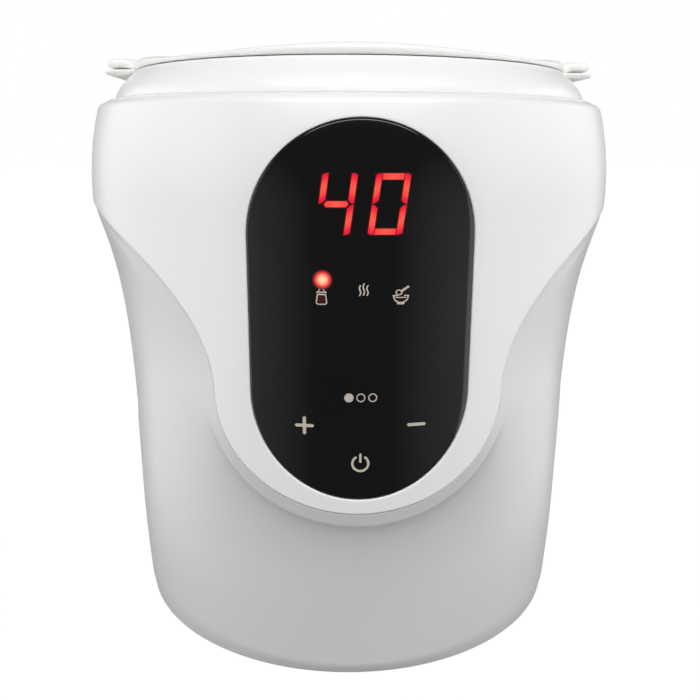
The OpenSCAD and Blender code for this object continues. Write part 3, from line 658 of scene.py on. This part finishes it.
NOTCH_HALF, NOTCH_R = 15.6, 53         # the two notches that take the basket's tabs
FLANGE_Z = 136.3                       # underside of the basket's flange
LEDGE_Z = FLANGE_Z - 0.15              # top of the ledge below it, and floor of the notches
notch_edge = asin(NOTCH_HALF / NOTCH_R)
near_edge = [notch_edge + d for d in (-0.012, -0.008, -0.004, 0, 0.004, 0.008, 0.012)]
collar_turns = turns(144) + [c + side * w for c in (0, pi) for side in (1, -1) for w in near_edge]
collar_turns = sorted(set(round(w % (2 * pi), 5) for w in collar_turns))
profile = [(59 - 5.3 * t ** 1.6, SHOULDER_Z + 6.7 * t, 0) for t in spread(0, 0.985, 14)]
profile += [(53.35, 137.2, 0.5), (51.0, 137.2, 0.15), (51.0, LEDGE_Z, 0.1), (47.3, LEDGE_Z, 0.5),
            (47.3, 130.4, 0), (48.9, 130.4, 0), (48.9, 134.6, 0), (52.2, 134.6, 0.5),
            (55.2, 131.5, 0.5), (55.2, 128.2, 0), (56.8, 128.2, 0),
            (56.8, SHOULDER_Z + 0.05, 0.2), (58.9, SHOULDER_Z + 0.05, 0.1)]
rows = []
for r, z in fillet(profile, 4):
    row = []
    for x, y, _ in ring(r, z, collar_turns):
        keep = smooth((abs(y) - NOTCH_HALF + 0.3) / 0.6)       # 0 in a notch, 1 beside it
        row.append((x, y, z if z <= LEDGE_Z else lerp(LEDGE_Z, z, keep)))
    rows.append(row)
collar = Skin()
collar.sheet(rows, loop=True)
build("collar_shell", collar, "housing", "white_gloss", ["collar_ring"])

# ---------------------------------------------------------------- lid

LID_R, LID_TAB_R, LID_TAB_HALF = 54, 60, 12      # reach of its rim and tabs, and half a tab
LID_UNDER, LID_TOP = 137.38, 141


def tabbed(r_round, r_tab, half, corner, join):
    """Plan outline of a disc with a tab of the given half width at each side: a list of x, y and
    the two parts of the outward normal. corner and join are the radii at the tab's corners and
    where it meets the disc."""
    quarter = [(r_tab, 0, 0), (r_tab, half, corner), (sqrt(r_round ** 2 - half ** 2), half, join)]
    arc_start = asin(half / r_round) + 0.06
    quarter += [(x, y, 0) for x, y, _ in ring(r_round, 0, spread(arc_start, pi / 2, 46))]
    pts = fillet(quarter, 8, closed=False)
    dense = []                         # with no step longer than 2
    for p, q in zip(pts, pts[1:]):
        n = max(1, ceil(hypot(q[0] - p[0], q[1] - p[1]) / 2.0))
        dense += [(lerp(p[0], q[0], i / n), lerp(p[1], q[1], i / n)) for i in range(n)]
    dense.append(pts[-1])
    loop = dense + [(-x, y) for x, y in dense[-2::-1]]
    loop += [(x, -y) for x, y in loop[-2:0:-1]]
    out = []
    for i, (x, y) in enumerate(loop):
        (x0, y0), (x1, y1) = loop[i - 1], loop[(i + 1) % len(loop)]
        size = hypot(x1 - x0, y1 - y0)
        out.append((x, y, (y1 - y0) / size, -(x1 - x0) / size))
    return out


def dome(r):
    return LID_TOP - 1.1 * (r / 50) ** 2


def dip(x, y):
    """How far the rim's top falls between the front or back and the tabs."""
    w = atan2(abs(x), abs(y)) * 180 / pi
    return 1.25 * smooth((w - 2) / 40) * (1 - smooth((w - 46) / 24))


def lid_z(x, y):
    """Height of the lid's top: a low dome that rises to the tabs and dips beside them."""
    r = hypot(x, y)
    lift = (140.1 - dome(r)) * smooth((abs(x) - 45) / 8) * (1 - smooth((abs(y) - 8) / 5))
    return dome(r) + lift - dip(x, y) * smooth((r - 33) / 18)


def edge_row(w, edge, tips, low, high, drop=lambda x, y: 0.0):
    """Row on a rounded edge: w turns from 0 at the top to pi underneath. low is (inset above,
    inset below, half height, centre height) along the disc's rim, and high along the tabs.
    tips says how much each point belongs to a tab."""
    row = []
    for (x, y, nx, ny), t in zip(edge, tips):
        above, below, half, mid = [lerp(a, b, t) for a, b in zip(low, high)]
        half, mid = half - drop(x, y) / 2, mid - drop(x, y) / 2
        d = (above if w < pi / 2 else below) * (1 - sin(w))
        row.append((x - nx * d, y - ny * d, mid + half * cos(w)))
    return row


RIM, TAB = (1.3, 0.3, 1.12, 138.5), (0.9, 0.8, 1.0, 139.2)
lid_edge = tabbed(LID_R, LID_TAB_R, LID_TAB_HALF, 6, 3.0)
tips = [smooth((hypot(x, y) - LID_R) / 2.6) for x, y, *_ in lid_edge]
rows = []                              # the top, its rounded edge, and the underside
for r in (1.5, 6, 12, 18, 24, 30, 35, 40, 44, 47, 49, 51):
    rows.append([(x, y, lid_z(x, y)) for x, y, _ in at_radius(lid_edge, r, 0)])
inner, outer = rows[-1], edge_row(0, lid_edge, tips, RIM, TAB, dip)
for t in (0.25, 0.5, 0.75):
    row = between(inner, outer, t)
    rows.append([(x, y, lerp(lid_z(x, y), z, smooth(t))) for (x, y), (_, _, z) in zip(row, outer)])
rows += [edge_row(w, lid_edge, tips, RIM, TAB, dip) for w in spread(0, pi, 10)]
under = rows[-1]
for r, z in ((53.8, 138.0), (53.7, 137.5), (53.3, LID_UNDER)):
    row = []
    for (x, y, _), tip in zip(under, tips):
        shrink = (r - 0.25 * (1 - tip)) / hypot(x, y)
        row.append((x * shrink, y * shrink, lerp(LID_UNDER, z, tip)))
    rows.append(row)
for r, z in ((44.4, 137.4), (43.6, 138.4), (39.6, 138.6), (39.4, 138.2), (39.4, 133.7),
             (39.1, 133.4), (38.3, 133.4), (38.0, 133.7), (38.0, 138.6), (37.4, 139.0),
             (20, 139.2), (1.5, 139.25)):
    rows.append(at_radius(lid_edge, r, z))
lid = Skin()
made = lid.sheet(rows)
lid.cap(made[0], (0, 0, LID_TOP))
lid.cap(made[-1], (0, 0, 139.25))
build("lid_shell", lid, "lid", "milky_pp", ["lid"], crease=50)

# ---------------------------------------------------------------- basket

SECTOR = 12                # steps across an eighth of the basket
HALF_EIGHTH = pi / 8       # half the angle of that eighth
CUP_IN, CUP_OUT = 40.0, 41.3           # radii of its wall
FLOOR_UNDER, FLOOR_TOP, WALL_LOW = 46.5, 48.0, 49.0
CUP_TOP = 136.6
SLOT_LOW, SLOT_HIGH, SLOT_HALF = 58.5, 116.5, 1.5
HOLES_R, HOLE_R = 26, 3    # the circle of holes in the floor, and each hole
HUB_R = 6                  # the hole in the middle of the floor
FLOOR_R = 39               # where the flat of the floor ends
FLANGE_R, BASKET_TAB_R, BASKET_TAB_HALF = 50.6, 60.5, 15
FLANGE_TOP = 137.3


def sector_border(n_up, low, high):
    """Closed outline of a (turn, height) patch, counted from its lower left corner."""
    across, up = spread(-HALF_EIGHTH, HALF_EIGHTH, SECTOR), spread(low, high, n_up)
    return ([(a, low) for a in across] + [(HALF_EIGHTH, z) for z in up[1:]]
            + [(a, high) for a in across[-2::-1]] + [(-HALF_EIGHTH, z) for z in up[-2:0:-1]])


def slot_border(n_up, grow=0.0):
    """Rounded slot, grown outwards, with as many points as the patch round it."""
    low, high, w = SLOT_LOW - grow, SLOT_HIGH + grow, SLOT_HALF + grow
    out = [(w * sin(a), low + w - w * cos(a)) for a in spread(-pi / 2, pi / 2, SECTOR)]
    out += [(w, z) for z in spread(low + w, high - w, n_up)[1:]]
    out += [(w * sin(a), high - w + w * cos(a)) for a in spread(pi / 2, -pi / 2, SECTOR)[1:]]
    out += [(-w, z) for z in spread(high - w, low + w, n_up)[1:-1]]
    return [(x / CUP_IN, z) for x, z in out]


# wall: one patch round each of the eight slots, from the inside through the slot to the outside
border = sector_border(20, WALL_LOW, CUP_TOP - 0.3)
hole, wide = slot_border(20), slot_border(20, 0.35)
patch = [between(border, wide, t) for t in (0, 0.35, 0.65, 0.85, 1)]
inside = [(points, CUP_IN) for points in patch] + [(between(wide, hole, 0.7), CUP_IN + 0.1),
                                                   (hole, CUP_IN + 0.35)]
outside = [(points, CUP_OUT - (r - CUP_IN)) for points, r in inside[::-1]]
cup = Skin()
for k in range(8):
    mid = HALF_EIGHTH * (2 * k + 1)
    cup.sheet([[(r * cos(mid + a), r * sin(mid + a), z) for a, z in points]
               for points, r in inside + outside])

# the wall's top edge, and its foot inside and outside
whole = turns(8 * SECTOR)
cup.sheet([ring(r, z, whole) for r, z in
           ((CUP_IN, CUP_TOP - 0.3), (CUP_IN + 0.1, CUP_TOP), (CUP_OUT - 0.1, CUP_TOP),
            (CUP_OUT, CUP_TOP - 0.3))])
for r, z, corner in ((CUP_IN, FLOOR_TOP, 0.9), (CUP_OUT, FLOOR_UNDER, 1.4)):
    cup.sheet([ring(*q, whole) for q in
               fillet([(FLOOR_R, z, 0), (r, z, corner), (r, WALL_LOW, 0)], 5, closed=False)])

# floor: a hole in the middle and one in every eighth
for k in range(8):
    mid = HALF_EIGHTH * 2 * k
    edge = [(r * cos(mid + a), r * sin(mid + a)) for a, r in sector_border(10, HUB_R + 0.4, FLOOR_R)]
    hub = (HOLES_R * cos(mid), HOLES_R * sin(mid))
    ways_round = [atan2(y - hub[1], x - hub[0]) for x, y in edge]
    rims = [[(hub[0] + r * cos(w), hub[1] + r * sin(w)) for w in ways_round]
            for r in (HOLE_R + 0.3, HOLE_R + 0.08, HOLE_R)]
    flat = [(between(edge, rims[0], t), 0) for t in (0, 0.4, 0.75, 1)]
    flat += [(rims[1], 0.08), (rims[2], 0.3)]
    cup.sheet([[(x, y, FLOOR_TOP - depth) for x, y in points] for points, depth in flat]
              + [[(x, y, FLOOR_UNDER + depth) for x, y in points] for points, depth in flat[::-1]])
hub_rim = [(HUB_R + 0.4, 0), (HUB_R + 0.1, 0.08), (HUB_R, 0.3)]
cup.sheet([ring(r, FLOOR_TOP - depth, whole) for r, depth in hub_rim]
          + [ring(r, FLOOR_UNDER + depth, whole) for r, depth in hub_rim[::-1]])

# flange: its bore and top, the way out to the tabs, the rounded edge, and back underneath
flange_edge = tabbed(FLANGE_R, BASKET_TAB_R, BASKET_TAB_HALF, 9, 2.0)
FLANGE, POINT = (0.3, 0.3, 0.48, 136.82), (3.2, 3.2, 0.7, 137.0)
tips = [smooth((hypot(x, y) - FLANGE_R - 0.8) / 3) for x, y, *_ in flange_edge]
rows = [at_radius(flange_edge, r, z) for r, z in
        ((40.3, FLANGE_Z), (40.05, 136.45), (CUP_IN, 136.7), (CUP_IN, 137.0), (40.1, 137.22),
         (40.4, FLANGE_TOP), (44, FLANGE_TOP), (48, FLANGE_TOP))]
inner, outer = rows[-1], edge_row(0, flange_edge, tips, FLANGE, POINT)
for t in (0.25, 0.5, 0.7, 0.85):
    rows.append([(x, y, lerp(FLANGE_TOP, z, smooth(hypot(x, y) - 54.2)))
                 for (x, y), (_, _, z) in zip(between(inner, outer, t), outer)])
rows += [edge_row(w, flange_edge, tips, FLANGE, POINT) for w in spread(0, pi, 12)]
rows += [at_radius(flange_edge, r, FLANGE_Z) for r in (48, 44)]
cup.sheet(rows, loop=True)
build("basket_shell", cup, "basket", "milky_pp", ["basket"], crease=50)

# ---------------------------------------------------------------- feet and the cord's gland

FEET_R = 40                # the circle of feet under the base
profile = [(0, -FOOT), (3.6, -FOOT), (4.5, -FOOT + 0.05), (4.85, -FOOT + 0.2), (5, -FOOT + 0.5),
           (5, 0.2), (4.8, 0.4), (2, 0.4), (2, 3.0), (3, 3.0), (3, 4.0), (2.8, 4.1), (0, 4.1)]
feet = Skin()
for w in turns(4):
    cx, cy = FEET_R * cos(w), FEET_R * sin(w)
    lathe(feet, profile, 40, lambda x, y, z: (x + cx, y + cy, z))
build("rubber_feet_shell", feet, "housing", "foot_rubber", ["rubber_feet"])

GLAND_Z = 12
BACK = 49.4                # how far back its inner end lies


def block_row(w, corner, y):
    """Rounded square w wide, at y."""
    h = w / 2
    plan = fillet([(h, -h, corner), (h, h, corner), (-h, h, corner), (-h, -h, corner)], 9)
    return [(x, y, GLAND_Z + z) for x, z in plan]


def bore_row(r, y):
    """Circle of radius r at y, with as many points as the square."""
    flat = [(x, z - GLAND_Z) for x, _, z in block_row(16, 2.5, y)]
    return [(r * x / hypot(x, z), y, GLAND_Z + r * z / hypot(x, z)) for x, z in flat]


gland = Skin()
gland.sheet([bore_row(3.6, BACK)]
            + [block_row(*q) for q in
               ((13.2, 2.3, BACK), (13.6, 2.5, BACK + 0.2), (13.6, 2.5, 51.4), (12, 2.5, 51.4),
                (12, 2.5, 56.95), (16, 2.5, 56.95), (16, 2.5, 58.9), (15.82, 2.45, 59.3),
                (15.3, 2.3, 59.5))]
            + [bore_row(*q) for q in
               ((5.2, 59.5), (4.9, 59.42), (4.6, 59.1), (3.8, 58.8), (3.6, 58.5))], loop=True)
build("gland_shell", gland, "housing", "white_satin", ["cord_gland"])

# ---------------------------------------------------------------- stage, light and camera


def softbox(name, place, aim, width, height, power, beam=180):
    data = bpy.data.lights.new(name, "AREA")
    data.shape, data.size, data.size_y, data.energy = "RECTANGLE", width, height, power
    data.spread = radians(beam)
    obj = bpy.data.objects.new(name, data)
    obj.location = place
    obj.rotation_euler = (Vector(aim) - Vector(place)).to_track_quat("-Z", "Y").to_euler()
    bpy.context.scene.collection.objects.link(obj)


paper = bpy.data.materials.new("floor_paper")
paper.use_nodes = True
shader = paper.node_tree.nodes["Principled BSDF"]
for key, value in (("Base Color", (0, 0, 0, 1)), ("Roughness", 0.9), ("Specular IOR Level", 0.1),
                   ("Emission Color", (1, 1, 1, 1)), ("Emission Strength", 1.0)):
    shader.inputs[key].default_value = value
mesh = bpy.data.meshes.new("floor")
mesh.from_pydata([(-4, -4, 0), (4, -4, 0), (4, 4, 0), (-4, 4, 0)], [], [(0, 1, 2, 3)])
mesh.materials.append(paper)
floor = bpy.data.objects.new("floor", mesh)
bpy.context.scene.collection.objects.link(floor)
# the paper is seen, but the lamps alone light the object
floor.visible_diffuse = floor.visible_glossy = floor.visible_transmission = False
floor.visible_shadow = False

# the camera sees white all round, and a dim room fills in what the lamps leave dark
world = bpy.data.worlds.new("studio")
bpy.context.scene.world = world
world.use_nodes = True
tree = world.node_tree
dim = tree.nodes["Background"]
dim.inputs["Color"].default_value = (1, 1, 1, 1)
dim.inputs["Strength"].default_value = 0.12
bright = node(tree, "ShaderNodeBackground", Color=(1, 1, 1, 1), Strength=1.0)
either = tree.nodes.new("ShaderNodeMixShader")
tree.links.new(tree.nodes.new("ShaderNodeLightPath").outputs["Is Camera Ray"], either.inputs[0])
tree.links.new(dim.outputs[0], either.inputs[1])
tree.links.new(bright.outputs[0], either.inputs[2])
tree.links.new(either.outputs[0], tree.nodes["World Output"].inputs["Surface"])

softbox("overhead", (0.04, -0.68, 0.88), (0, 0, 0.08), 1.1, 0.5, 10.8)
softbox("right_side", (0.55, 0.0, 0.08), (0, 0, 0.08), 0.9, 0.7, 2.5)
softbox("front_right", (0.95, -0.9, -0.2), (0, 0, 0.05), 1.5, 2.6, 0.55, 60)
softbox("left_side", (-0.55, 0.0, 0.08), (0, 0, 0.08), 0.9, 0.7, 2.7)
softbox("front_left", (-0.95, -0.9, -0.2), (0, 0, 0.05), 1.5, 2.6, 0.55, 60)
softbox("below", (0, -0.25, -0.7), (0, 0, 0.07), 1.4, 0.6, 0.3)

bpy.context.scene.view_settings.view_transform = "Standard"

camera_data = bpy.data.cameras.new("camera")
camera = bpy.data.objects.new("camera", camera_data)
bpy.context.scene.collection.objects.link(camera)
bpy.context.scene.camera = camera
camera_data.sensor_width = 36
camera_data.lens = 40.1143
camera_data.clip_start, camera_data.clip_end = 0.01, 20
EYE_AWAY, EYE_Z = 214.9, 120.4         # from the body's axis, and above its bottom edge
SWING, YAW = radians(2.2), radians(2.3207)       # round the body, and the turn towards it
PITCH, ROLL = radians(14.8), radians(0.25)
camera.location = (-EYE_AWAY * MM * sin(SWING), -EYE_AWAY * MM * cos(SWING), (EYE_Z + FOOT) * MM)
turn = Matrix.Rotation(-YAW, 3, "Z") @ Matrix.Rotation(pi / 2 - PITCH, 3, "X")
camera.rotation_euler = (turn @ Matrix.Rotation(ROLL, 3, "Z")).to_euler()

# every CAD node still on show takes the procedural finish of its slot
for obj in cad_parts.values():
    for holder in obj.material_slots:
        slot_name = holder.material.name.split(".")[0] if holder.material else ""
        if slot_name in PALETTE:
            holder.material = PALETTE[slot_name]
